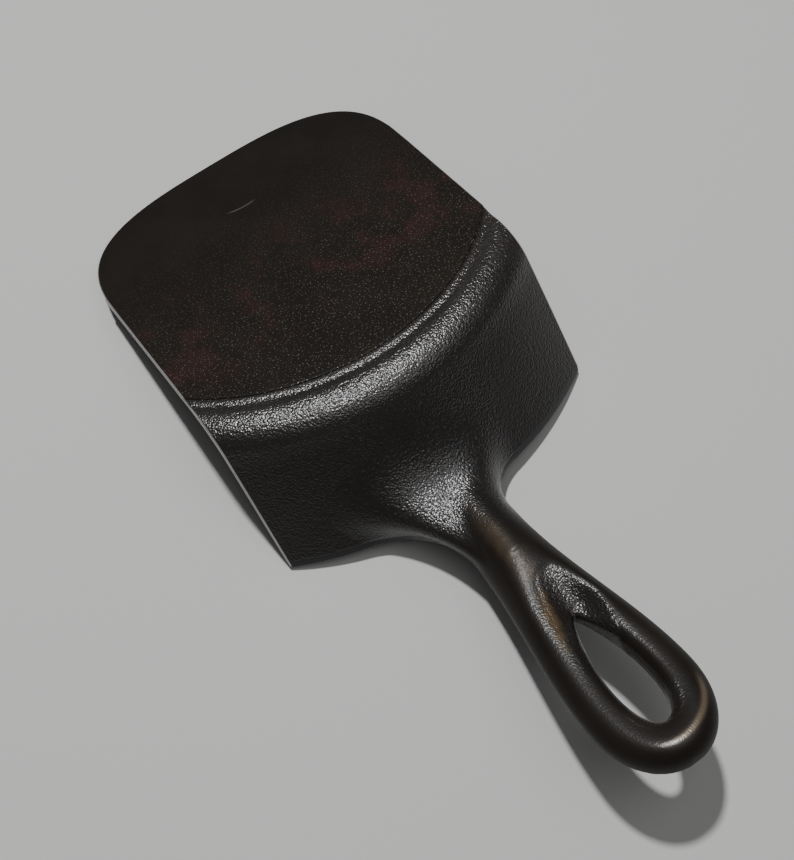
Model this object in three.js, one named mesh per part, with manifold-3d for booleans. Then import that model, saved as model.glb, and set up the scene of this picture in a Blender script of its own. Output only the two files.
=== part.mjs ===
// A scoop-shaped turner cut from a small cast-iron skillet, lying bottom up on a table.
// The shape is drawn in the pan's own frame, in millimetres: the pan's axis is Z, its outer base is
// the plane z = 0 and its rim hangs below it, because the pan is upside down. +Y runs from the
// handle to the blade's front edge. The group then tips the casting on to the three points that it
// really rests on, the front edge and the two cut corners of the rim, and puts them at z = 0.

import * as THREE from 'three';
import { mergeVertices } from 'three/addons/utils/BufferGeometryUtils.js';
import Module from 'manifold-3d';

// The pan that the turner is cut from
const BASE_RADIUS = 64.2;
const BASE_STEP = 0.7;
const BASE_STEP_WIDTH = 1.2;
const RIM_RADIUS = 90.9;
const PAN_DEPTH = 40.1;
const RIM_BAND = 2.6;
const CORNER_CENTRE_RADIUS = 68.4;
const CORNER_RADIUS = 10;
const FLOOR_THICKNESS = 3.2;
const WALL_THICKNESS = 3;
const INNER_CORNER_RADIUS = 13;

// The scoop that is left of it
const BLADE_HALF_WIDTH = 48;
const BLADE_SHIFT = 0.4;
const BLADE_FRONT = 30.1;
const BLADE_SHOULDER = -5;
const BLADE_SQUARENESS = 3.1;
const EDGE_THICKNESS = 1.1;
const EDGE_BEVEL_LENGTH = 9;

// The handle, by distance behind the pan's axis. It stands a little off the pan's middle.
const NECK_START = 70;
const NECK_NARROWEST = 106;
const NECK_HALF_WIDTH = 8.5;
const NECK_SHIFT = -1.8;
const LEFT_FILLET = 26;
const RIGHT_FILLET = 14;
const LOOP_CENTRE = 163;
const LOOP_HALF_WIDTH = 15.4;
const LOOP_SHIFT = -0.9;
const LOOP_SQUARENESS = 2.1;
const HANDLE_END = 183;
const HANDLE_RISE = 4.4;
const HANDLE_SIDE = 2;
const HANDLE_ROUNDNESS = 2.2;
const CREST_AT_RIM = 21;
const CREST_AT_NECK = 11.5;
const CREST_AT_LOOP = 9;
const CREST_AGAINST_WALL = 85;
const CREST_SWEEP = 24;
const CREST_SWEEP_POWER = 2.4;
const CREST_FALL_START = 173;

// The hanging hole and the recess that runs into its tip
const HOLE_TIP = 137;
const HOLE_END = 172;
const HOLE_HALF_WIDTH = 5.3;
const HOLE_SHIFT = -0.6;
const HOLE_TIP_FULLNESS = 0.8;
const HOLE_WALL = 3;
const HOLE_LIP_RADIUS = 4.5;
const HOLE_LIP_STEPS = [0.4, 0.65, 0.82, 0.94];
const RECESS_START = 126;
const RECESS_LENGTH = 25;
const RECESS_HALF_WIDTH = 3.8;
const RECESS_SQUARENESS = 2.5;
const RECESS_DEPTH_AT_START = 1;
const RECESS_DEPTH_AT_HOLE = 5.2;
// The recess's flanks, as [height over its floor, spread beyond the floor]
const RECESS_FLANKS = [[0, 0], [1.2, 0.5], [3, 1.7], [5, 3.4], [20, 6.4]];

const PAN_SEGMENTS = 160;
const FRONT_STEPS = 44;
const SECTION_STEPS = 20;
const CORNER_STEPS = 9;
const INNER_CORNER_STEPS = 8;
const ROOT_SPACING = 6;
const HANDLE_SPACING = 3;
const END_STEPS = 12;
const HOLE_STEPS = 36;
const SMALL_ANGLE = 0.01;
const BEYOND = 20;

const wasm = await Module();
wasm.setup();

function solidOf(geometry) {
  const bare = geometry.index ? geometry.toNonIndexed() : geometry.clone();
  bare.deleteAttribute('normal');
  bare.deleteAttribute('uv');
  const merged = mergeVertices(bare, 1e-4);
  return new wasm.Manifold(new wasm.Mesh({
    numProp: 3,
    vertProperties: Float32Array.from(merged.attributes.position.array),
    triVerts: Uint32Array.from(merged.index.array),
  }));
}

function geometryOf(solid) {
  const mesh = solid.getMesh();
  const geometry = new THREE.BufferGeometry();
  geometry.setAttribute('position', new THREE.BufferAttribute(mesh.vertProperties, 3));
  geometry.setIndex(new THREE.BufferAttribute(mesh.triVerts, 1));
  return geometry;
}

function turned(profile) {
  return solidOf(new THREE.LatheGeometry(profile, PAN_SEGMENTS).rotateX(Math.PI / 2));
}

// A closed solid through rings that all have the same number of points, with flat ends.
function lofted(rings) {
  const count = rings[0].length;
  const positions = rings.flat().flatMap((point) => point.toArray());
  const faces = [];
  for (let ring = 0; ring + 1 < rings.length; ring++) {
    for (let i = 0; i < count; i++) {
      const a = ring * count + i;
      const b = ring * count + ((i + 1) % count);
      faces.push(a, b, b + count, a, b + count, a + count);
    }
  }
  const last = (rings.length - 1) * count;
  for (let i = 1; i + 1 < count; i++) {
    faces.push(0, i + 1, i);
    faces.push(last, last + i, last + i + 1);
  }
  const geometry = new THREE.BufferGeometry();
  geometry.setAttribute('position', new THREE.Float32BufferAttribute(positions, 3));
  geometry.setIndex(faces);
  return solidOf(geometry);
}

function arc(centreX, centreY, radius, from, to, steps) {
  return Array.from({ length: steps + 1 }, (_, i) => {
    const angle = from + ((to - from) * i) / steps;
    return new THREE.Vector2(
      centreX + radius * Math.cos(angle),
      centreY + radius * Math.sin(angle),
    );
  });
}

// The wall is the straight line that leaves the base corner's arc and ends at the rim band.
const cornerCentre = new THREE.Vector2(CORNER_CENTRE_RADIUS, -BASE_STEP - CORNER_RADIUS);
const wallEnd = new THREE.Vector2(RIM_RADIUS, RIM_BAND - PAN_DEPTH);
const toWallEnd = wallEnd.clone().sub(cornerCentre);
const wallNormalAngle = Math.atan2(toWallEnd.y, toWallEnd.x)
  + Math.acos(CORNER_RADIUS / toWallEnd.length());
const wallSlope = Math.tan(wallNormalAngle);

function wallRadiusAt(z) {
  return RIM_RADIUS - (z - wallEnd.y) * wallSlope;
}

function outerPan() {
  const profile = [
    new THREE.Vector2(0, -PAN_DEPTH),
    new THREE.Vector2(RIM_RADIUS, -PAN_DEPTH),
    wallEnd,
    ...arc(cornerCentre.x, cornerCentre.y, CORNER_RADIUS, wallNormalAngle, Math.PI / 2, CORNER_STEPS),
    new THREE.Vector2(BASE_RADIUS + BASE_STEP_WIDTH, -BASE_STEP),
    new THREE.Vector2(BASE_RADIUS, 0),
    new THREE.Vector2(0, 0),
  ];
  return turned(profile);
}

function innerRadiusAt(z) {
  return wallRadiusAt(z) - WALL_THICKNESS / Math.cos(wallNormalAngle);
}

// The inside of the pan, as a solid that reaches past the rim, to be cut away.
function panInterior() {
  const run = INNER_CORNER_RADIUS * Math.tan((Math.PI / 2 - wallNormalAngle) / 2);
  const centreX = innerRadiusAt(-FLOOR_THICKNESS) - run;
  const centreY = -FLOOR_THICKNESS - INNER_CORNER_RADIUS;
  const from = wallNormalAngle;
  const to = Math.PI / 2;
  const below = -PAN_DEPTH - BEYOND;
  const profile = [
    new THREE.Vector2(0, below),
    new THREE.Vector2(innerRadiusAt(below), below),
    ...arc(centreX, centreY, INNER_CORNER_RADIUS, from, to, INNER_CORNER_STEPS),
    new THREE.Vector2(0, -FLOOR_THICKNESS),
  ];
  return turned(profile);
}

function signedPower(value, power) {
  return Math.sign(value) * Math.abs(value) ** power;
}

// Straight sides, and a front edge that bows out and turns into the sides through round corners.
function scoopOutline() {
  const outline = new THREE.Shape();
  const behind = -RIM_RADIUS - BEYOND;
  outline.moveTo(BLADE_SHIFT - BLADE_HALF_WIDTH, behind);
  outline.lineTo(BLADE_SHIFT + BLADE_HALF_WIDTH, behind);
  const power = 2 / BLADE_SQUARENESS;
  for (let i = 0; i <= FRONT_STEPS; i++) {
    const angle = (Math.PI * i) / FRONT_STEPS;
    outline.lineTo(
      BLADE_SHIFT + BLADE_HALF_WIDTH * signedPower(Math.cos(angle), power),
      BLADE_SHOULDER + (BLADE_FRONT - BLADE_SHOULDER) * signedPower(Math.sin(angle), power),
    );
  }
  return outline;
}

function scoopPrism() {
  const depth = PAN_DEPTH + 2 * BEYOND;
  const prism = new THREE.ExtrudeGeometry(scoopOutline(), { depth, bevelEnabled: false });
  return solidOf(prism.translate(0, 0, -PAN_DEPTH - BEYOND));
}

// The wedge that thins the cooking side down to the front edge.
function edgeBevel() {
  const rise = (FLOOR_THICKNESS - EDGE_THICKNESS) / EDGE_BEVEL_LENGTH;
  const side = new THREE.Shape();
  side.moveTo(BLADE_FRONT - EDGE_BEVEL_LENGTH, -FLOOR_THICKNESS);
  side.lineTo(BLADE_FRONT - EDGE_BEVEL_LENGTH, -FLOOR_THICKNESS - BEYOND);
  side.lineTo(BLADE_FRONT + BEYOND, -FLOOR_THICKNESS - BEYOND);
  side.lineTo(BLADE_FRONT + BEYOND, -EDGE_THICKNESS + rise * BEYOND);
  const wedge = new THREE.ExtrudeGeometry(side, { depth: 2 * RIM_RADIUS, bevelEnabled: false });
  // The side view is drawn in (Y, Z), so its X and Y become Y and Z and its depth becomes X.
  const across = new THREE.Matrix4().set(0, 0, 1, -RIM_RADIUS, 1, 0, 0, 0, 0, 1, 0, 0, 0, 0, 0, 1);
  return solidOf(wedge.applyMatrix4(across));
}

// A value that runs from the neck's to the loop's along the handle.
function alongHandle(atNeck, atLoop, back) {
  const share = THREE.MathUtils.smoothstep(back, NECK_NARROWEST, LOOP_CENTRE);
  return THREE.MathUtils.lerp(atNeck, atLoop, share);
}

// Half the handle's width at a distance behind the pan's axis.
function handleHalfWidth(back) {
  if (back <= LOOP_CENTRE) {
    return alongHandle(NECK_HALF_WIDTH, LOOP_HALF_WIDTH, back);
  }
  const along = (back - LOOP_CENTRE) / (HANDLE_END - LOOP_CENTRE);
  return LOOP_HALF_WIDTH * (1 - along ** LOOP_SQUARENESS) ** (1 / LOOP_SQUARENESS);
}

// The extra width that a fillet between the neck and the round wall adds on one side of the neck,
// whose edge is this far from the pan's middle.
function filletWidth(back, radius, neckEdge) {
  const centreBack = Math.sqrt((RIM_RADIUS + radius) ** 2 - (neckEdge + radius) ** 2);
  const tangentBack = (centreBack * RIM_RADIUS) / (RIM_RADIUS + radius);
  const ahead = centreBack - THREE.MathUtils.clamp(back, tangentBack, centreBack);
  return radius - Math.sqrt(radius ** 2 - ahead ** 2);
}

// The flat side of the handle starts level with the rim and leaves its plane towards the end.
function handleFlat(back) {
  return -PAN_DEPTH - HANDLE_RISE * THREE.MathUtils.smoothstep(back, RIM_RADIUS, HANDLE_END);
}

// The round side's height over the flat side, along the middle of the handle.
function crestHeight(back) {
  const toWall = (CREST_AGAINST_WALL + CREST_SWEEP - back) / CREST_SWEEP;
  const sweep = THREE.MathUtils.clamp(toWall, 0, 1) ** CREST_SWEEP_POWER;
  const neck = THREE.MathUtils.lerp(CREST_AT_NECK, CREST_AT_RIM, sweep);
  const crest = alongHandle(neck, CREST_AT_LOOP, back);
  const toEnd = (back - CREST_FALL_START) / (HANDLE_END - CREST_FALL_START);
  const end = THREE.MathUtils.clamp(toEnd, 0, 1);
  return HANDLE_SIDE + (crest - HANDLE_SIDE) * Math.sqrt(1 - end ** 2);
}

function handleSection(back) {
  const half = handleHalfWidth(back);
  const middle = alongHandle(NECK_SHIFT, LOOP_SHIFT, back);
  const leftFlare = filletWidth(back, LEFT_FILLET, NECK_HALF_WIDTH - NECK_SHIFT);
  const rightFlare = filletWidth(back, RIGHT_FILLET, NECK_HALF_WIDTH + NECK_SHIFT);
  const flat = handleFlat(back);
  const dome = crestHeight(back) - HANDLE_SIDE;
  const ring = [new THREE.Vector3(middle + half + rightFlare, -back, flat)];
  for (let i = 0; i <= SECTION_STEPS; i++) {
    const angle = (Math.PI * i) / SECTION_STEPS;
    const height = signedPower(Math.sin(angle), 2 / HANDLE_ROUNDNESS);
    const across = signedPower(Math.cos(angle), 2 / HANDLE_ROUNDNESS);
    const flare = (across > 0 ? rightFlare : leftFlare) * (1 - height) ** 2;
    const x = middle + (half + flare) * across;
    ring.push(new THREE.Vector3(x, -back, flat + HANDLE_SIDE + dome * height));
  }
  ring.push(new THREE.Vector3(middle - half - leftFlare, -back, flat));
  return ring;
}

function handle() {
  const stations = [];
  for (let back = NECK_START; back < CREST_AGAINST_WALL - HANDLE_SPACING; back += ROOT_SPACING) {
    stations.push(back);
  }
  for (let back = CREST_AGAINST_WALL; back < LOOP_CENTRE; back += HANDLE_SPACING) {
    stations.push(back);
  }
  for (let i = 0; i < END_STEPS; i++) {
    const angle = (Math.PI / 2) * (i / END_STEPS);
    stations.push(LOOP_CENTRE + (HANDLE_END - LOOP_CENTRE) * Math.sin(angle));
  }
  return lofted(stations.map(handleSection));
}

// The drop-shaped outline of the hanging hole, grown outwards by a distance.
function dropOutline(grow) {
  const middle = (HOLE_TIP + HOLE_END) / 2;
  const reach = (HOLE_END - HOLE_TIP) / 2;
  const at = (angle) => {
    const across = Math.sin(angle) * Math.abs(Math.sin(angle / 2)) ** HOLE_TIP_FULLNESS;
    return new THREE.Vector2(across, -middle + reach * Math.cos(angle));
  };
  const angles = Array.from({ length: HOLE_STEPS }, (_, i) => (2 * Math.PI * (i + 0.5)) / HOLE_STEPS);
  const widest = Math.max(...angles.map((angle) => at(angle).x));
  const scaled = (angle) => at(angle).multiply(new THREE.Vector2(HOLE_HALF_WIDTH / widest, 1));
  return angles.map((angle) => {
    const along = scaled(angle + SMALL_ANGLE).sub(scaled(angle - SMALL_ANGLE)).normalize();
    const outwards = new THREE.Vector2(-along.y, along.x).multiplyScalar(grow);
    return scaled(angle).add(outwards).add(new THREE.Vector2(HOLE_SHIFT, 0));
  });
}

// Straight through the flat side, then flared so that the loop is left as a rounded bar.
function hangingHole() {
  const flat = handleFlat(HOLE_END);
  const rings = [[0, flat - BEYOND], [0, flat + HOLE_WALL]];
  for (const share of HOLE_LIP_STEPS) {
    const spread = HOLE_LIP_RADIUS * (1 - Math.sqrt(1 - share ** 2));
    rings.push([spread, flat + HOLE_WALL + HOLE_LIP_RADIUS * share]);
  }
  rings.push([HOLE_LIP_RADIUS, flat + HOLE_WALL + HOLE_LIP_RADIUS + BEYOND]);
  const ringAt = ([grow, z]) => dropOutline(grow).map((p) => new THREE.Vector3(p.x, p.y, z));
  return lofted(rings.map((ring) => ringAt(ring).reverse()));
}

// A trough whose floor falls from the U-shaped step on the neck to the tip of the hole.
function recess() {
  const floorAt = (back) => handleFlat(back) + crestHeight(back);
  const start = floorAt(RECESS_START) - RECESS_DEPTH_AT_START;
  const end = floorAt(HOLE_TIP) - RECESS_DEPTH_AT_HOLE;
  const fall = (end - start) / (HOLE_TIP - RECESS_START);
  const ringAt = (lift, spread) => Array.from({ length: HOLE_STEPS }, (_, i) => {
    const angle = (2 * Math.PI * (i + 0.5)) / HOLE_STEPS;
    const back = RECESS_START + (RECESS_LENGTH / 2) * (1 - Math.cos(angle));
    const across = signedPower(Math.sin(angle), 2 / RECESS_SQUARENESS);
    const x = HOLE_SHIFT + (RECESS_HALF_WIDTH + spread) * across;
    const y = (spread / 2) * Math.cos(angle) - back;
    return new THREE.Vector3(x, y, start + fall * (back - RECESS_START) + lift);
  });
  return lofted(RECESS_FLANKS.map(([lift, spread]) => ringAt(lift, spread).reverse()));
}

function casting() {
  const scoop = outerPan().intersect(scoopPrism());
  const body = scoop.add(handle()).subtract(panInterior()).subtract(edgeBevel());
  return geometryOf(body.subtract(hangingHole()).subtract(recess()));
}

const castIron = new THREE.MeshStandardMaterial({
  color: 0x2a2622,
  roughness: 0.5,
  metalness: 0.7,
});

const turner = new THREE.Mesh(casting(), castIron);
turner.name = 'turner_casting';

// It rests on the front edge and on the two corners where the side cuts meet the rim's inner edge.
const rimCornerAcross = BLADE_HALF_WIDTH + BLADE_SHIFT;
const rimCornerBack = Math.sqrt(innerRadiusAt(-PAN_DEPTH) ** 2 - rimCornerAcross ** 2);
turner.rotation.x = -Math.atan2(PAN_DEPTH - EDGE_THICKNESS, rimCornerBack + BLADE_FRONT);

const part = new THREE.Group();
part.add(turner);
const box = new THREE.Box3().setFromObject(part, true);
turner.position.set(-(box.min.x + box.max.x) / 2, -(box.min.y + box.max.y) / 2, -box.min.z);

export default part;
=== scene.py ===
"""A scoop-shaped kitchen turner cut from a small cast-iron skillet, lying bottom up on a pale table.

The casting is modelled in the pan's own frame, in millimetres: the pan's axis is Z, its outer base is
the plane z = 0, its rim hangs below it, and +Y runs from the handle to the blade's front edge. Once it
is finished it is tipped on to the three points it rests on and scaled to metres.
"""

import math
from types import SimpleNamespace

import bmesh
import bpy
import numpy as np
from mathutils import Matrix, Vector
from mathutils.kdtree import KDTree


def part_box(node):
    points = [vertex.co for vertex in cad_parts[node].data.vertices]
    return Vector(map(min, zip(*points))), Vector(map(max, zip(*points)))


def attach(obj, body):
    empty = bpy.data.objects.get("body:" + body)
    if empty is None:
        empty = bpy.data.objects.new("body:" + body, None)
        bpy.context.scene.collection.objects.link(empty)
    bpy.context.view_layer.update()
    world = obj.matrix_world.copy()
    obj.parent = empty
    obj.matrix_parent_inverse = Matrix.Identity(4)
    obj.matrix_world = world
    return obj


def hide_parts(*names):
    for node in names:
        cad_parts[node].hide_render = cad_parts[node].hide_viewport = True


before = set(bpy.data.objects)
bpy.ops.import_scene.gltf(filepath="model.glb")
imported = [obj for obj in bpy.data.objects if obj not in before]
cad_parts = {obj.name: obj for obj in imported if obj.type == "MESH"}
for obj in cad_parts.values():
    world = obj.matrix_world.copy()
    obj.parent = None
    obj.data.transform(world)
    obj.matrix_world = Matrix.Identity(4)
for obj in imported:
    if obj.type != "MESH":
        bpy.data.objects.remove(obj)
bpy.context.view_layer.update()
CASTING_NODE = "turner_casting"
CASTING_LOW, CASTING_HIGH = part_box(CASTING_NODE)
MM = 0.001

# ---------------------------------------------------------------------------------------------
# Sizes of the casting, in millimetres, in the pan's frame
# ---------------------------------------------------------------------------------------------

# The pan
BASE_RADIUS = 64.2
BASE_STEP = 0.7
BASE_EDGE_ROUND = 0.5
BASE_GROOVE = [(65.0, -0.62), (65.7, -0.92), (66.6, -0.98), (67.5, -0.84)]  # (radius, z)
RIM_RADIUS = 90.9
RIM_EDGE_ROUND = 0.5
PAN_DEPTH = 40.1
RIM_BAND = 2.6
CORNER_CENTRE_RADIUS = 68.4
CORNER_RADIUS = 10.0
FLOOR_THICKNESS = 3.2
WALL_THICKNESS = 3.0
INNER_CORNER_RADIUS = 13.0
INNER_RIM_EASE = 0.6

# The blade. Its outline starts to curve in at the shoulder and reaches forward to the front.
BLADE_HALF_WIDTH = 48.0
BLADE_SHIFT = 0.4
BLADE_FRONT = 30.1
BLADE_SHOULDER = -5.0
BLADE_SQUARENESS = 3.1
EDGE_THICKNESS = 1.1
EDGE_BEVEL_LENGTH = 9.0
CUT_CHAMFER = 0.28
LOWER_EDGE_EASE = 0.25

# The handle. Places along it are distances behind the pan's axis, and shifts are to the right.
NECK_HALF_WIDTH = 8.5
NECK_NARROWEST = 106.0
NECK_SHIFT = -1.8
NECK_CREST = 11.5
LOOP_CENTRE = 163.0
LOOP_HALF_WIDTH = 15.4
LOOP_SHIFT = -0.9
LOOP_CREST = 9.0
LOOP_SQUARENESS = 2.1
HANDLE_END = 183.0
CREST_FALL_START = 174.5
CREST_END_FULLNESS = 2.4
HANDLE_RISE = 4.4
HANDLE_SIDE = 2.0
FLAT_SIDE_INSET = 0.15
HANDLE_VOXEL = 0.4

# The fillets: how far they reach along the wall at the flat edges and over the back, and how they fan
LEFT_REACH = 18.9
RIGHT_REACH = 11.5
CREST_REACH = 15.0
FILLET_FAN = 1.3
FILLET_RISE = 1.7
LEFT_FULLNESS = 0.5
KNEE_SPREAD = 0.35
CREST_START = 0.68
ROOT_DEPTH = 1.4

# The hanging hole and the round lip around it
HOLE_TIP = 137.0
HOLE_END = 172.0
HOLE_HALF_WIDTH = 5.1
HOLE_SHIFT = -0.6
HOLE_TIP_FULLNESS = 0.8
HOLE_WALL = 3.0
HOLE_LIP_RADIUS = 4.5
LIP_SOFTNESS = 2.6

# The recess: a trough from a U-shaped step on the neck down to the hole
RECESS_START = 126.0
RECESS_END = 158.0
RECESS_STEP = 1.2
TROUGH_MIDDLE = 0.4
TROUGH_AT_HOLE = 4.2
TROUGH_CURVE = 6.0
TROUGH_SOFTNESS = 2.2

# Spacing of the points along the pan's profiles
OUTER_WALL_SPACING = 0.55
RIM_SPACING = 0.6
RIM_FACE_SPACING = 0.8
INNER_WALL_SPACING = 1.2


# ---------------------------------------------------------------------------------------------
# Workshop helpers
# ---------------------------------------------------------------------------------------------

def deselect_all():
    if bpy.context.object and bpy.context.object.mode != "OBJECT":
        bpy.ops.object.mode_set(mode="OBJECT")
    bpy.ops.object.select_all(action="DESELECT")


def pick(piece):
    deselect_all()
    piece.select_set(True)
    bpy.context.view_layer.objects.active = piece


def apply_modifier(piece, kind, **settings):
    pick(piece)
    modifier = piece.modifiers.new(kind.lower(), kind)
    for name, value in settings.items():
        setattr(modifier, name, value)
    bpy.ops.object.modifier_apply(modifier=modifier.name)


def combine(piece, tool, operation):
    """Joins or cuts piece with tool, and throws the tool away."""
    apply_modifier(piece, "BOOLEAN", operation=operation, object=tool, solver="EXACT")
    bpy.data.objects.remove(tool)


def lofted(name, rings):
    """A closed skin through rings of points: a circle is set on the first ring, then its edge loop is
    extruded and shaped to each next ring, and both ends are filled."""
    deselect_all()
    bpy.ops.mesh.primitive_circle_add(vertices=len(rings[0]), fill_type="NOTHING")
    piece = bpy.context.object
    piece.name = name
    bpy.ops.object.mode_set(mode="EDIT")
    bpy.ops.mesh.select_all(action="SELECT")
    skin = bmesh.from_edit_mesh(piece.data)
    place = skin.verts.layers.int.new("place")
    for index, vertex in enumerate(skin.verts):
        vertex[place] = index
        vertex.co = rings[0][index]
    for ring in rings[1:]:
        bpy.ops.mesh.extrude_edges_move()
        for vertex in skin.verts:
            if vertex.select:
                vertex.co = ring[vertex[place]]
    bmesh.update_edit_mesh(piece.data)
    bpy.ops.mesh.select_all(action="DESELECT")
    bpy.ops.mesh.select_non_manifold()
    bpy.ops.mesh.fill_holes(sides=0)
    bpy.ops.mesh.select_all(action="SELECT")
    bpy.ops.mesh.normals_make_consistent(inside=False)
    bpy.ops.object.mode_set(mode="OBJECT")
    return piece


def smoothstep(value, low, high):
    share = min(max((value - low) / (high - low), 0.0), 1.0)
    return share * share * (3.0 - 2.0 * share)


def mix(low, high, share):
    return low + (high - low) * share


def signed_power(value, power):
    return math.copysign(abs(value) ** power, value)


def resampled(corners, spacing):
    """Points along a polyline, evenly spread on each of its stretches, without the last one."""
    points = []
    for start, end in zip(corners, corners[1:]):
        start, end = np.array(start, float), np.array(end, float)
        steps = max(1, round(float(np.linalg.norm(end - start)) / spacing))
        points.extend(start + (end - start) * i / steps for i in range(steps))
    return points


def arc(centre, radius, start, end, steps):
    angles = np.linspace(start, end, steps + 1)
    return [(centre[0] + radius * math.cos(a), centre[1] + radius * math.sin(a)) for a in angles]


# ---------------------------------------------------------------------------------------------
# The scoop: what is left of the pan
# ---------------------------------------------------------------------------------------------

CORNER_CENTRE = (CORNER_CENTRE_RADIUS, -BASE_STEP - CORNER_RADIUS)
BAND_TOP = -PAN_DEPTH + RIM_BAND
TO_BAND = (RIM_RADIUS - CORNER_CENTRE[0], BAND_TOP - CORNER_CENTRE[1])
WALL_LEAN = math.atan2(TO_BAND[1], TO_BAND[0]) + math.acos(CORNER_RADIUS / math.hypot(*TO_BAND))
WALL_SLOPE = math.tan(WALL_LEAN)


def wall_radius(z):
    return RIM_RADIUS - max(z - BAND_TOP, 0.0) * WALL_SLOPE


def outer_profile():
    """(radius, z) from the base's edge, over the step and the corner and down the wall to the rim."""
    edge_centre = (BASE_RADIUS - BASE_EDGE_ROUND, -BASE_EDGE_ROUND)
    edge_round = arc(edge_centre, BASE_EDGE_ROUND, math.pi / 2, 0.2, 5)
    corner = arc(CORNER_CENTRE, CORNER_RADIUS, math.pi / 2, WALL_LEAN, 30)
    band_edge = (RIM_RADIUS - 0.12, BAND_TOP + 0.3)
    band_foot = (RIM_RADIUS, -PAN_DEPTH + RIM_EDGE_ROUND)
    rim = [(RIM_RADIUS, BAND_TOP), band_foot, (RIM_RADIUS - RIM_EDGE_ROUND, -PAN_DEPTH)]
    wall = resampled([corner[-1], band_edge], OUTER_WALL_SPACING)[1:] + [band_edge]
    return edge_round + BASE_GROOVE + corner + wall + resampled(rim, RIM_SPACING) + [rim[-1]]


def inner_profile():
    """(radius, z) from the rim, up the inside of the wall and round to the cooking floor."""
    across = WALL_THICKNESS / math.cos(WALL_LEAN)
    wall_at_floor = RIM_RADIUS - (-FLOOR_THICKNESS - BAND_TOP) * WALL_SLOPE - across
    run = INNER_CORNER_RADIUS * math.tan((math.pi / 2 - WALL_LEAN) / 2)
    centre = (wall_at_floor - run, -FLOOR_THICKNESS - INNER_CORNER_RADIUS)
    corner = arc(centre, INNER_CORNER_RADIUS, WALL_LEAN, math.pi / 2, 14)
    rim_radius = wall_at_floor + (PAN_DEPTH - FLOOR_THICKNESS) * WALL_SLOPE
    lip = [(rim_radius + INNER_RIM_EASE, -PAN_DEPTH), (rim_radius - 0.1, -PAN_DEPTH + INNER_RIM_EASE)]
    rim_face = resampled([(RIM_RADIUS - RIM_EDGE_ROUND, -PAN_DEPTH), lip[0]], RIM_FACE_SPACING)[1:]
    return rim_face + lip + resampled([lip[1], corner[0]], INNER_WALL_SPACING)[1:] + corner


def front_edge(x, inset):
    """How far forward the blade reaches at x, with its outline taken in by inset."""
    share = min(abs(x - BLADE_SHIFT) / (BLADE_HALF_WIDTH - inset), 1.0)
    reach = BLADE_FRONT - BLADE_SHOULDER - inset
    return BLADE_SHOULDER + reach * (1.0 - share**BLADE_SQUARENESS) ** (1.0 / BLADE_SQUARENESS)


def scoop_section(x):
    """The closed outline of the scoop's slice at x, as (y, z)."""
    back = [(-math.sqrt(r * r - x * x), z) for r, z in outer_profile()]
    inside = [(-math.sqrt(r * r - x * x), z) for r, z in inner_profile()]
    top_front = front_edge(x, CUT_CHAMFER)
    blade = [(mix(top_front, back[0][0], i / 64), 0.0) for i in range(64)]
    front = front_edge(x, 0.0)
    bevel_start = BLADE_FRONT - EDGE_BEVEL_LENGTH
    rise = (FLOOR_THICKNESS - EDGE_THICKNESS) / EDGE_BEVEL_LENGTH

    def cooking_face(y):
        return -FLOOR_THICKNESS + max(y - bevel_start, 0.0) * rise

    floor_front = front - LOWER_EDGE_EASE
    floor = []
    for i in range(1, 61):
        y = mix(inside[-1][0], floor_front, i / 60)
        floor.append((y, cooking_face(y)))
    low = cooking_face(front) + LOWER_EDGE_EASE
    lip = [(front, low), (front, mix(low, -CUT_CHAMFER, 0.5)), (front, -CUT_CHAMFER)]
    return np.array(blade + back + inside + floor + lip)


def taken_in(section, distance):
    """The closed outline moved inwards, for the chamfer round a sawn face."""
    ahead = np.roll(section, -1, 0) - np.roll(section, 1, 0)
    ahead /= np.maximum(np.linalg.norm(ahead, axis=1, keepdims=True), 1e-9)
    inwards = np.stack([-ahead[:, 1], ahead[:, 0]], 1)
    return section + inwards * distance


def model_scoop():
    edge = BLADE_HALF_WIDTH - CUT_CHAMFER
    turn = np.radians(np.linspace(50.0, 6.0, 26))
    corner_stations = edge * np.cos(turn) ** (2.0 / BLADE_SQUARENESS)
    middle = np.linspace(0.0, corner_stations[0], 49)[:-1]
    right = np.concatenate([middle, corner_stations, [edge]])
    stations = np.concatenate([-right[:0:-1], right]) + BLADE_SHIFT
    rings = []
    for x in stations:
        section = scoop_section(float(x))
        rings.append([(x, y, z) for y, z in section])
    for side, first in ((-1.0, True), (1.0, False)):
        section = taken_in(scoop_section(BLADE_SHIFT + side * edge), CUT_CHAMFER)
        ring = [(BLADE_SHIFT + side * BLADE_HALF_WIDTH, y, z) for y, z in section]
        rings.insert(0 if first else len(rings), ring)
    return lofted("scoop", rings)


# ---------------------------------------------------------------------------------------------
# The handle, by distance behind the pan's axis
# ---------------------------------------------------------------------------------------------

def along_handle(at_neck, at_loop, back):
    return mix(at_neck, at_loop, smoothstep(back, NECK_NARROWEST, LOOP_CENTRE))


def handle_half_width(back):
    if back > LOOP_CENTRE:
        along = (back - LOOP_CENTRE) / (HANDLE_END - LOOP_CENTRE)
        return LOOP_HALF_WIDTH * (1.0 - along**LOOP_SQUARENESS) ** (1.0 / LOOP_SQUARENESS)
    return along_handle(NECK_HALF_WIDTH, LOOP_HALF_WIDTH, back)


def handle_flat(back):
    rise = HANDLE_RISE * smoothstep(back, RIM_RADIUS, HANDLE_END)
    return -PAN_DEPTH + FLAT_SIDE_INSET - rise


def crest_height(back):
    crest = along_handle(NECK_CREST, LOOP_CREST, back)
    end = min(max((back - CREST_FALL_START) / (HANDLE_END - CREST_FALL_START), 0.0), 1.0)
    return HANDLE_SIDE + (crest - HANDLE_SIDE) * math.sqrt(1.0 - end**CREST_END_FULLNESS)


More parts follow.
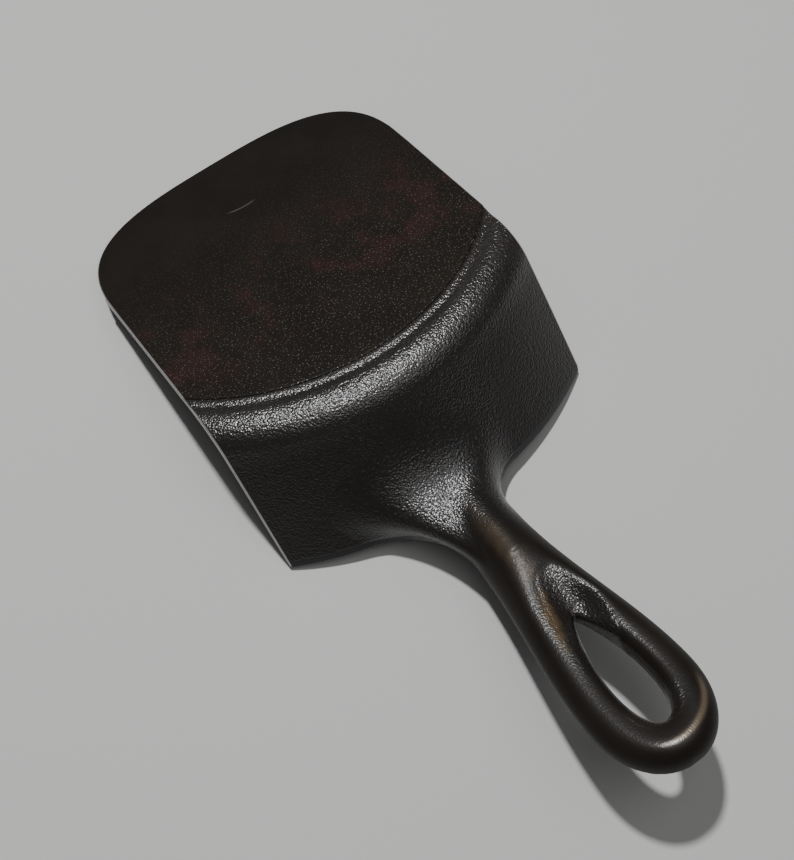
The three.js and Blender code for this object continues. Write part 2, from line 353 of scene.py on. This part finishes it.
def handle_section(back):
    """The handle's slice as (x, z): a flat underside, low upright sides and a rounded back."""
    half = handle_half_width(back)
    middle = along_handle(NECK_SHIFT, LOOP_SHIFT, back)
    flat = handle_flat(back)
    dome = crest_height(back) - HANDLE_SIDE
    roundness = along_handle(1.9, 2.1, back)
    points = [(middle + mix(-half, half, i / 16), flat) for i in range(17)]
    for i in range(41):
        angle = math.pi * i / 40
        x = middle + half * signed_power(math.cos(angle), 2.0 / roundness)
        z = flat + HANDLE_SIDE + dome * math.sin(angle) ** (2.0 / roundness)
        points.append((x, z))
    return points


def wall_face(x, z):
    """The y of the pan's outer wall at x and z."""
    return -math.sqrt(wall_radius(z) ** 2 - x * x)


def fillet_rib(x, z, across, up):
    """One rib of the fillets, from a point of the neck's slice: its start on the neck, its knee, which
    is straight ahead in the plane that touches the wall at the foot, and its foot on the wall. across
    runs from -1 to 1 over the neck and up from 0 at its sides to 1 on its crest."""
    fan = 1.0 + FILLET_FAN * smoothstep(up, 0.0, 0.4)
    outwards = Vector((fan * across, FILLET_RISE * up**1.2))
    if up > 0:
        outwards.normalize()
    side_reach = mix(LEFT_REACH, RIGHT_REACH, (across + 1.0) / 2.0)
    on_wall = mix(side_reach, CREST_REACH, up)
    if across < 0:
        on_wall *= 1.0 + LEFT_FULLNESS * math.sin(math.pi * up)
    foot_x = x + outwards.x * on_wall
    foot_z = max(z + outwards.y * on_wall, handle_flat(RIM_RADIUS))
    foot = Vector((foot_x, wall_face(foot_x, foot_z), foot_z))
    lean = 0.0 if foot_z <= BAND_TOP else WALL_SLOPE
    slope_x = foot_x / -foot.y
    slope_z = wall_radius(foot_z) * lean / -foot.y
    y = foot.y + slope_x * (x - foot_x) + slope_z * (z - foot_z)
    knee = Vector((mix(x, foot_x, KNEE_SPREAD * up), y, z))
    start = Vector((x, y - on_wall * mix(1.0, CREST_START, up), z))
    return start, knee, foot


def root_rings():
    """The handle's fillets: each rib leaves the neck and curves out until it lies along the wall. The
    last rings shrink inside the wall, to close the root."""
    section = handle_section(NECK_NARROWEST)
    flat = handle_flat(RIM_RADIUS)
    half = handle_half_width(NECK_NARROWEST)
    crest = max(z for _, z in section)
    ribs = []
    for x, z in section:
        up = (z - flat - HANDLE_SIDE) / (crest - flat - HANDLE_SIDE)
        ribs.append(fillet_rib(x, z, (x - NECK_SHIFT) / half, min(max(up, 0.0), 1.0)))
    rings = []
    for t in np.linspace(0.0, 1.0, 17):
        rings.append([a * (1 - t) ** 2 + b * (2 * t * (1 - t)) + c * t**2 for a, b, c in ribs])
    for share in (0.985, 0.8, 0.5, 0.2):
        ring = []
        for _, _, foot in ribs:
            x = foot.x * share
            z = mix(flat + 10.0, foot.z, share)
            ring.append(Vector((x, wall_face(x, z) + ROOT_DEPTH, z)))
        rings.append(ring)
    return rings


def drop_outline():
    """The hanging hole's outline as (x, y): a drop with its tip towards the pan."""
    middle = (HOLE_TIP + HOLE_END) / 2
    reach = (HOLE_END - HOLE_TIP) / 2
    widest = 1.25 * HOLE_HALF_WIDTH
    points = []
    for i in range(72):
        angle = 2 * math.pi * (i + 0.5) / 72
        side = math.sin(angle) * abs(math.sin(angle / 2)) ** HOLE_TIP_FULLNESS
        points.append(Vector((HOLE_SHIFT + widest * side, -middle + reach * math.cos(angle))))
    return points


def hole_tool():
    flat = handle_flat(HOLE_END)
    below, above = flat - 10.0, flat + 30.0
    return lofted("hole_tool", [[(p.x, p.y, z) for p in drop_outline()] for z in (below, above)])


def outline_tree():
    """The hole's outline, closely dotted, for measuring how far a point is from it."""
    outline = drop_outline()
    dots = resampled([tuple(p) for p in outline + outline[:1]], 0.1)
    tree = KDTree(len(dots))
    for index, dot in enumerate(dots):
        tree.insert((dot[0], dot[1], 0.0), index)
    tree.balance()
    return tree


def lip_height(from_hole):
    """The height over the flat side of the round lip that the hole is cast with."""
    near = min(from_hole, 0.75 * HOLE_LIP_RADIUS)
    round_part = math.sqrt(HOLE_LIP_RADIUS**2 - (HOLE_LIP_RADIUS - near) ** 2)
    return HOLE_WALL + round_part + 0.3 * (from_hole - near)


def back_height(x, back):
    """How high the handle's rounded back stands over its flat side at x."""
    middle = along_handle(NECK_SHIFT, LOOP_SHIFT, back)
    across = min(abs(x - middle) / max(handle_half_width(back), 0.1), 1.0)
    dome = crest_height(back) - HANDLE_SIDE
    return HANDLE_SIDE + dome * math.sqrt(1.0 - across**2)


def trough_height(x, back):
    """The trough's height over the flat side: it starts at the U-shaped step on the neck, falls to the
    hole's tip and fades out along the hole's flanks."""
    from_middle = x - TROUGH_MIDDLE
    start = RECESS_START + 0.04 * from_middle**2 - 0.25 * from_middle
    top = crest_height(RECESS_START) - RECESS_STEP
    share = (back - start) / (HOLE_TIP - RECESS_START)
    floor = mix(top, TROUGH_AT_HOLE, min(max(share, 0.0), 1.0))
    step = 1.1 * max(start - back, 0.0)
    fade = 0.02 * max(back - HOLE_TIP, 0.0) ** 2
    return floor + step + fade + from_middle**2 / (2.0 * TROUGH_CURVE)


def soft_minimum(first, second, softness):
    """The lower of two heights, rounded where they come within softness of each other."""
    overlap = max(softness - abs(first - second), 0.0) / softness
    return min(first, second) - overlap * overlap * softness / 4.0


def press_back(handle):
    """Presses the hole's round lip and the trough into the handle's back, and leaves the flat side."""
    hole = outline_tree()
    for vertex in handle.data.vertices:
        x, y, z = vertex.co
        flat = handle_flat(-y)
        if -y < RECESS_START - 8.0 or z < flat + HOLE_WALL:
            continue
        from_hole = hole.find((x, y, 0.0))[2]
        height = soft_minimum(z - flat, lip_height(from_hole), LIP_SOFTNESS)
        if -y < RECESS_END:
            height = soft_minimum(height, trough_height(x, -y), TROUGH_SOFTNESS)
        vertex.co.z = flat + max(height, HOLE_WALL)


def recast(piece, smoothing):
    """Gives the piece an even skin and softens it, as a worn sand mould does."""
    pick(piece)
    piece.data.remesh_voxel_size = HANDLE_VOXEL
    bpy.ops.object.voxel_remesh()
    apply_modifier(piece, "SMOOTH", factor=0.5, iterations=smoothing)


def model_handle():
    end_turn = np.linspace(0.0, math.pi / 2, 17)[:-1]
    backs = [HANDLE_END - (HANDLE_END - LOOP_CENTRE) * (1.0 - math.sin(a)) for a in end_turn[::-1]]
    backs += list(np.arange(LOOP_CENTRE - 2.0, NECK_NARROWEST + 1.0, -2.0))
    rings = [[(x, -back, z) for x, z in handle_section(back)] for back in backs]
    handle = lofted("handle", rings + root_rings())
    combine(handle, hole_tool(), "DIFFERENCE")
    recast(handle, 8)
    press_back(handle)
    recast(handle, 14)
    return handle


# ---------------------------------------------------------------------------------------------
# The whole casting
# ---------------------------------------------------------------------------------------------

RIM_INNER_RADIUS = RIM_RADIUS + RIM_BAND * WALL_SLOPE - WALL_THICKNESS / math.cos(WALL_LEAN)
RIM_CORNER_BACK = math.sqrt(RIM_INNER_RADIUS**2 - (BLADE_HALF_WIDTH + BLADE_SHIFT) ** 2)
TILT = math.atan2(PAN_DEPTH - EDGE_THICKNESS, RIM_CORNER_BACK + BLADE_FRONT)


def lying_down():
    """From the pan's frame in millimetres to the row's frame in metres."""
    turn = Matrix.Rotation(-TILT, 4, "X")
    front = turn @ Vector((0.0, BLADE_FRONT, 0.0))
    rim_corner = turn @ Vector((0.0, -RIM_CORNER_BACK, -PAN_DEPTH))
    shift = Vector((-BLADE_SHIFT, CASTING_HIGH.y / MM - front.y, CASTING_LOW.z / MM - rim_corner.z))
    return Matrix.Scale(MM, 4) @ Matrix.Translation(shift) @ turn


def bell(distance, width):
    return math.exp(-((distance / width) ** 2))


def between(value, start, full, fading, gone):
    """0 up to start, 1 from full to fading and 0 again from gone on."""
    return smoothstep(value, start, full) * (1.0 - smoothstep(value, fading, gone))


def hollow_at(x, back):
    """1 on the pebbly floor of the recess and on the hole's rough flank, 0 on the rubbed outside."""
    sunk = back_height(x, back) - trough_height(x, back)
    trough = smoothstep(sunk, -0.8, 0.8) * smoothstep(back, RECESS_START - 1.5, RECESS_START + 1.0)
    from_hole = abs(x - HOLE_SHIFT) - HOLE_HALF_WIDTH
    inner = (1.0 - smoothstep(from_hole, 1.5, 5.0)) * (0.5 if x < 0 else 0.2)
    trough = max(trough, inner * between(back, 128.0, 136.0, 145.0, 168.0))
    from_loop_end = math.hypot(x - HOLE_SHIFT, back - (HOLE_END - HOLE_HALF_WIDTH))
    flank = 1.0 - smoothstep(from_loop_end, HOLE_HALF_WIDTH + 1.6, HOLE_HALF_WIDTH + 2.8)
    flank *= smoothstep(back, HOLE_END - 8.0, HOLE_END - 4.0)
    return max(trough, 0.6 * flank)


def wear_at(x, back, z):
    """Where hands have rubbed the seasoning thin: the neck's crest and the left rail. On the loop's end the
    mark is partly rubbed polish and partly a painted highlight arc along the bar.
    """
    if back < 84.0 or z < handle_flat(back) + 1.5:
        return 0.0
    crest = 0.75 * bell(x + 3.6, 3.0) * between(back, 88.0, 112.0, 125.0, 129.0)
    rail = 0.6 * bell(x + mix(4.5, 9.0, smoothstep(back, 128.0, 150.0)), 2.0)
    rail *= between(back, 124.0, 132.0, 138.0, 156.0)
    # The loop's end: a thin arc along the bar where the highlight falls, a painted highlight over real
    # polish.
    far = math.hypot(x - LOOP_SHIFT, back - 166.0)
    end = 0.7 * bell(far - 12.8, 0.65) * smoothstep(back, 166.0, 174.0) * smoothstep(x, -8.0, -1.0)
    return max(crest, rail, end)


def cut_at(centre, normal):
    """How bare the metal is: bright on the eased edges of the side cuts, duller on the sawn faces."""
    if abs(centre.x - BLADE_SHIFT) > BLADE_HALF_WIDTH - 1.1 * CUT_CHAMFER and abs(normal.x) > 0.5:
        return 0.45 if abs(normal.x) > 0.95 else 0.85
    before = centre.y > front_edge(centre.x, 1.0) and abs(normal.z) < 0.85
    return 0.3 if before and centre.z > -FLOOR_THICKNESS else 0.0


def mark_surface(mesh):
    """Stores each point's place on the pan, in millimetres, how hollow it is, how worn it is (with the
    painted highlight on the loop's end), and how bare each face was cut."""
    points = [tuple(vertex.co) for vertex in mesh.vertices]
    marks = [
        ("pan_place", "FLOAT_VECTOR", "POINT", "vector", [c for point in points for c in point]),
        ("hollow", "FLOAT", "POINT", "value", [hollow_at(x, -y) for x, y, _ in points]),
        ("wear", "FLOAT", "POINT", "value", [wear_at(x, -y, z) for x, y, z in points]),
        ("cut", "FLOAT", "FACE", "value", [cut_at(face.center, face.normal) for face in mesh.polygons]),
    ]
    for name, kind, domain, field, values in marks:
        mesh.attributes.new(name, kind, domain).data.foreach_set(field, values)


def model_casting():
    casting = model_scoop()
    combine(casting, model_handle(), "UNION")
    casting.name = "turner"
    mark_surface(casting.data)
    casting.data.transform(lying_down())
    pick(casting)
    bpy.ops.object.shade_smooth_by_angle(angle=math.radians(35))
    return casting


turner = model_casting()
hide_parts(CASTING_NODE)
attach(turner, "root")

# ---------------------------------------------------------------------------------------------
# Materials
# ---------------------------------------------------------------------------------------------

def node(tree, kind, sockets=None, **settings):
    """Adds a node; sockets maps input names or numbers to values or to the outputs that feed them."""
    made = tree.nodes.new(kind)
    for name, value in settings.items():
        setattr(made, name, value)
    for name, value in (sockets or {}).items():
        if isinstance(value, bpy.types.NodeSocket):
            tree.links.new(value, made.inputs[name])
        else:
            made.inputs[name].default_value = value
    return made


def calc(tree, operation, *values):
    return node(tree, "ShaderNodeMath", dict(enumerate(values)), operation=operation).outputs[0]


def soft_step(tree, value, low, high):
    """0 where the value is at low, 1 where it is at high."""
    sockets = {"Value": value, "From Min": low, "From Max": high}
    return node(tree, "ShaderNodeMapRange", sockets, interpolation_type="SMOOTHSTEP").outputs["Result"]


def blend(tree, share, first, second):
    made = node(tree, "ShaderNodeMix", data_type="RGBA")
    for socket, value in ((made.inputs[0], share), (made.inputs[6], first), (made.inputs[7], second)):
        if isinstance(value, bpy.types.NodeSocket):
            tree.links.new(value, socket)
        else:
            socket.default_value = value
    return made.outputs[2]


def blend_value(tree, share, first, second):
    made = node(tree, "ShaderNodeMix", {0: share, 2: first, 3: second}, data_type="FLOAT")
    return made.outputs[0]


def grouped(tree, group, sockets, output):
    return node(tree, "ShaderNodeGroup", sockets, node_tree=group).outputs[output]


def new_group(name, inputs, outputs):
    group = bpy.data.node_groups.new(name, "ShaderNodeTree")
    for label, kind in inputs:
        group.interface.new_socket(label, in_out="INPUT", socket_type=kind)
    for label, kind in outputs:
        group.interface.new_socket(label, in_out="OUTPUT", socket_type=kind)
    return group, group.nodes.new("NodeGroupInput").outputs, group.nodes.new("NodeGroupOutput").inputs


def noise(tree, place, scale, detail=2.0, roughness=0.5):
    sockets = {"Vector": place, "Scale": scale, "Detail": detail, "Roughness": roughness}
    return node(tree, "ShaderNodeTexNoise", sockets).outputs["Fac"]


def calc_vector(tree, operation, *values):
    return node(tree, "ShaderNodeVectorMath", dict(enumerate(values)), operation=operation).outputs[0]


def times(tree, *values):
    product = values[0]
    for value in values[1:]:
        product = calc(tree, "MULTIPLY", product, value)
    return product


def rest_of(tree, share):
    return calc(tree, "SUBTRACT", 1.0, share)


def noise_colour(tree, place, scale):
    return node(tree, "ShaderNodeTexNoise", {"Vector": place, "Scale": scale, "Detail": 1.0}).outputs["Color"]


def sand_grain_group():
    """The pebbly skin that the sand mould leaves: blunt domes, bent and of uneven height."""
    group, given, result = new_group(
        "sand_grain",
        [("Place", "NodeSocketVector"), ("Grains per mm", "NodeSocketFloat")],
        [("Height", "NodeSocketFloat")],
    )
    place, grains = given["Place"], given["Grains per mm"]
    bent = calc_vector(group, "MULTIPLY_ADD", noise_colour(group, place, 0.9), (0.5, 0.5, 0.5), place)
    cells = node(group, "ShaderNodeTexVoronoi", {"Vector": bent, "Scale": grains}, feature="F1")
    domes = rest_of(group, calc(group, "POWER", cells.outputs["Distance"], 1.6))
    uneven = noise(group, place, times(group, grains, 0.6))
    group.links.new(calc(group, "MULTIPLY_ADD", uneven, 1.1, domes), result["Height"])
    return group


def speck_group():
    """Scattered bright specks, as a mask: the painted glints on the blade."""
    group, given, result = new_group(
        "specks",
        [("Place", "NodeSocketVector"), ("Specks per mm", "NodeSocketFloat"), ("Amount", "NodeSocketFloat")],
        [("Mask", "NodeSocketFloat")],
    )
    dots = noise(group, given["Place"], given["Specks per mm"], 0.0)
    low = calc(group, "SUBTRACT", 0.86, times(group, given["Amount"], 0.16))
    mask = soft_step(group, dots, low, calc(group, "ADD", low, 0.08))
    group.links.new(mask, result["Mask"])
    return group


DARK_SEASONING = (0.0072, 0.0056, 0.0045, 1)
BROWN_SEASONING = (0.0105, 0.0079, 0.0062, 1)
RED_SEASONING = (0.026, 0.0095, 0.0085, 1)
WORN_SEASONING = (0.036, 0.0245, 0.0145, 1)
RIM_SEASONING = (0.012, 0.0105, 0.011, 1)
# A darker colour for the walls, away from the base.
SOOT = (0.004, 0.0034, 0.0034, 1)
# Painted glints: a light colour for the specks on the blade, standing in for glints of light.
SPECK = (0.085, 0.075, 0.062, 1)
SCRATCH = (0.09, 0.08, 0.07, 1)
GOLDEN_OIL = (0.14, 0.095, 0.05, 1)
# Rubbed iron on the loop's end, made light enough to paint the highlight arc along the bar.
RUBBED_IRON = (0.16, 0.125, 0.08, 1)
BARE_IRON = (0.52, 0.51, 0.50, 1)


def regions_of(tree):
    """Masks of the casting's regions and finishes, from the marks on its surface and each point's place
    on the pan, in millimetres."""

    def stored(name, output="Fac"):
        return node(tree, "ShaderNodeAttribute", attribute_name=name).outputs[output]

    on = SimpleNamespace(place=stored("pan_place", "Vector"))
    on.hollow, on.wear, on.cut = stored("hollow"), stored("wear"), stored("cut")
    axes = node(tree, "ShaderNodeSeparateXYZ", {"Vector": on.place}).outputs
    on.across, on.along, height = axes[0], axes[1], axes[2]
    squares = calc(tree, "ADD", calc(tree, "POWER", on.across, 2.0), calc(tree, "POWER", on.along, 2.0))
    radius = calc(tree, "SQRT", squares)

    on.blade = times(tree, soft_step(tree, radius, 65.3, 64.3), soft_step(tree, height, -1.5, -0.4))
    on.handle = soft_step(tree, on.along, -96.0, -116.0)
    in_band = soft_step(tree, height, BAND_TOP + 0.5, BAND_TOP - 0.1)
    on.band = times(tree, in_band, soft_step(tree, radius, 96.0, 93.0))
    # The walls, away from the base and growing fully towards the rim, where the colour is made darker.
    on.soot = times(tree, soft_step(tree, height, -6.0, -12.0), rest_of(tree, on.handle))
    patchy = times(tree, noise(tree, on.place, 0.35, 4.0, 0.6), 0.6)
    # Worn seasoning; on the loop's end it also takes in the painted highlight arc.
    on.worn = soft_step(tree, calc(tree, "ADD", on.wear, patchy), 0.45, 1.15)
    on.golden = times(tree, on.worn, on.hollow)
    # The loop's end: real polish (lower roughness, some metal) and a light colour that paints a highlight
    # arc.
    on.polished = times(tree, on.wear, soft_step(tree, on.along, -163.0, -170.0))
    # Painted glints: bright specks on the blade's face that stand in for glints of light off its grain.
    speck = {"Place": on.place, "Specks per mm": 2.4, "Amount": 1.1}
    dots = grouped(tree, speck_group(), speck, "Mask")
    on.specks = times(tree, dots, on.blade, soft_step(tree, on.along, 24.0, -48.0))
    return on


def scratch_on(tree, on):
    """The mask of one faint bowed scratch across the middle of the blade."""
    beside = calc(tree, "ADD", on.across, 1.0)
    bow = times(tree, calc(tree, "POWER", beside, 2.0), 0.03)
    line = calc(tree, "MULTIPLY_ADD", on.across, -0.1, 6.9)
    off_line = calc(tree, "ABSOLUTE", calc(tree, "SUBTRACT", on.along, calc(tree, "ADD", line, bow)))
    length = soft_step(tree, calc(tree, "ABSOLUTE", beside), 5.0, 2.5)
    return times(tree, soft_step(tree, off_line, 0.35, 0.05), length, on.blade, 0.7)


def seasoning_colour(tree, on):
    cloud = soft_step(tree, noise(tree, on.place, 0.045, 4.0, 0.6), 0.35, 0.7)
    red_zone = times(tree, soft_step(tree, on.along, -2.0, -22.0), soft_step(tree, on.along, -50.0, -34.0))
    red = times(tree, red_zone, soft_step(tree, noise(tree, on.place, 0.07, 3.0, 0.55), 0.48, 0.62), 0.6)
    colour = blend(tree, cloud, DARK_SEASONING, BROWN_SEASONING)
    layers = (
        (red, RED_SEASONING),
        # painted glints on the blade
        (on.specks, SPECK),
        (scratch_on(tree, on), SCRATCH),
        (on.worn, WORN_SEASONING),
        # darker colour over the walls, towards the rim
        (times(tree, on.soot, 0.5), SOOT),
        (on.golden, GOLDEN_OIL),
        # rubbed polish and painted highlight on the loop's end
        (on.polished, RUBBED_IRON),
        (on.band, RIM_SEASONING),
        (on.cut, BARE_IRON),
    )
    for share, layer in layers:
        colour = blend(tree, share, colour, layer)
    return colour


def skin_relief(tree, on, pebbles, fine):
    """The height of the sand grain: full on the walls, nearly gone on the blade, band and rubbed back."""
    rubbed = times(tree, on.handle, rest_of(tree, on.hollow))
    smooth = calc(tree, "MAXIMUM", calc(tree, "MAXIMUM", on.band, rubbed), on.blade)
    depth = blend_value(tree, smooth, 1.0, 0.16)
    relief = calc(tree, "MULTIPLY_ADD", fine, 0.12, times(tree, pebbles, depth))
    return times(tree, relief, rest_of(tree, times(tree, on.cut, 0.85)))


def dullness(tree, on, fine):
    """The roughness under the oil: the walls' own, then each region's over it, and a little variation."""
    dull = blend_value(tree, on.blade, 0.34, 0.5)
    regions = ((on.handle, 0.48), (on.hollow, 0.36), (on.band, 0.42), (on.cut, 0.38), (on.polished, 0.12))
    for share, roughness in regions:
        dull = blend_value(tree, share, dull, roughness)
    return calc(tree, "MULTIPLY_ADD", calc(tree, "SUBTRACT", fine, 0.7), 0.08, dull)


def oil_coat(tree, on):
    """How much baked oil shines: most on the walls, least on the blade, the band and the dry handle."""
    bare = calc(tree, "MAXIMUM", on.blade, times(tree, on.band, 0.8))
    kept = times(tree, on.hollow, rest_of(tree, times(tree, on.wear, 0.6)), 0.75)
    dry = times(tree, on.handle, rest_of(tree, calc(tree, "MAXIMUM", kept, on.polished)))
    on_wall = times(tree, on.soot, soft_step(tree, calc(tree, "ABSOLUTE", on.across), 12.0, 26.0))
    oily = times(tree, rest_of(tree, bare), rest_of(tree, times(tree, dry, 0.88)))
    oily = times(tree, oily, rest_of(tree, times(tree, on_wall, 0.3)))
    # The painted glint specks also get real gloss: a thicker oil coat.
    oily = calc(tree, "MAXIMUM", oily, times(tree, on.specks, 0.8))
    return times(tree, oily, rest_of(tree, on.cut))


def seasoned_iron():
    iron = bpy.data.materials.new("seasoned_iron")
    iron.use_nodes = True
    tree = iron.node_tree
    shader = tree.nodes["Principled BSDF"].inputs
    on = regions_of(tree)
    grain = sand_grain_group()
    pebbles = grouped(tree, grain, {"Place": on.place, "Grains per mm": 1.9}, "Height")
    fine = grouped(tree, grain, {"Place": on.place, "Grains per mm": 3.6}, "Height")
    relief = {"Height": skin_relief(tree, on, pebbles, fine), "Distance": 0.00011, "Strength": 1.0}
    bump = node(tree, "ShaderNodeBump", relief).outputs["Normal"]
    metal = calc(tree, "MAXIMUM", times(tree, on.polished, 0.5), on.cut)

    tree.links.new(bump, shader["Normal"])
    tree.links.new(bump, shader["Coat Normal"])
    tree.links.new(seasoning_colour(tree, on), shader["Base Color"])
    tree.links.new(calc(tree, "MAXIMUM", metal, times(tree, on.golden, 0.75)), shader["Metallic"])
    tree.links.new(dullness(tree, on, fine), shader["Roughness"])
    tree.links.new(oil_coat(tree, on), shader["Coat Weight"])
    shader["Coat Roughness"].default_value = 0.27
    shader["Coat IOR"].default_value = 1.6
    shader["Specular IOR Level"].default_value = 0.12
    return iron


turner.data.materials.clear()
turner.data.materials.append(seasoned_iron())

# ---------------------------------------------------------------------------------------------
# Table, light and camera
# ---------------------------------------------------------------------------------------------

deselect_all()
bpy.ops.mesh.primitive_plane_add(size=6.0, location=(0, 0, 0))
table = bpy.context.object
table.name = "table"
pale = bpy.data.materials.new("pale_table")
pale.use_nodes = True
pale_shader = pale.node_tree.nodes["Principled BSDF"]
pale_shader.inputs["Base Color"].default_value = (0.46, 0.456, 0.45, 1)
pale_shader.inputs["Roughness"].default_value = 0.7
table.data.materials.append(pale)


def soft_light(name, towards, distance, size, power):
    """A round lamp that shines on the origin from a direction; sizes in metres, power in watts."""
    direction = Vector(towards).normalized()
    data = bpy.data.lights.new(name, "AREA")
    data.shape = "DISK"
    data.size = size
    data.energy = power
    lamp = bpy.data.objects.new(name, data)
    bpy.context.scene.collection.objects.link(lamp)
    lamp.location = direction * distance
    lamp.rotation_euler = direction.to_track_quat("Z", "Y").to_euler()


soft_light("key_light", towards=(0.03, 0.357, 0.998), distance=1.5, size=0.09, power=23.5)
soft_light("overhead_light", towards=(0.17, -0.19, 0.96), distance=1.2, size=0.8, power=2.8)

world = bpy.data.worlds.new("studio")
bpy.context.scene.world = world
world.use_nodes = True
surroundings = world.node_tree.nodes["Background"].inputs
surroundings["Color"].default_value = (1, 1, 1, 1)
surroundings["Strength"].default_value = 0.12

# The camera looks down on the blade from behind the handle, turned so that the handle points down left
CAMERA_PLACE = Vector((-0.08266, -0.10482, 0.36536))
CAMERA_RIGHT = Vector((0.81510, -0.57932, -0.00138))
CAMERA_UP = Vector((0.54201, 0.76175, 0.35490))
CAMERA_AHEAD = Vector((0.20455, 0.29003, -0.93490))

camera_data = bpy.data.cameras.new("camera")
camera_data.lens = 60.03
camera_data.sensor_width = 36.0
camera = bpy.data.objects.new("camera", camera_data)
bpy.context.scene.collection.objects.link(camera)
turned = Matrix((CAMERA_RIGHT, CAMERA_UP, -CAMERA_AHEAD)).transposed().to_4x4()
camera.matrix_world = Matrix.Translation(CAMERA_PLACE) @ turned
bpy.context.scene.camera = camera
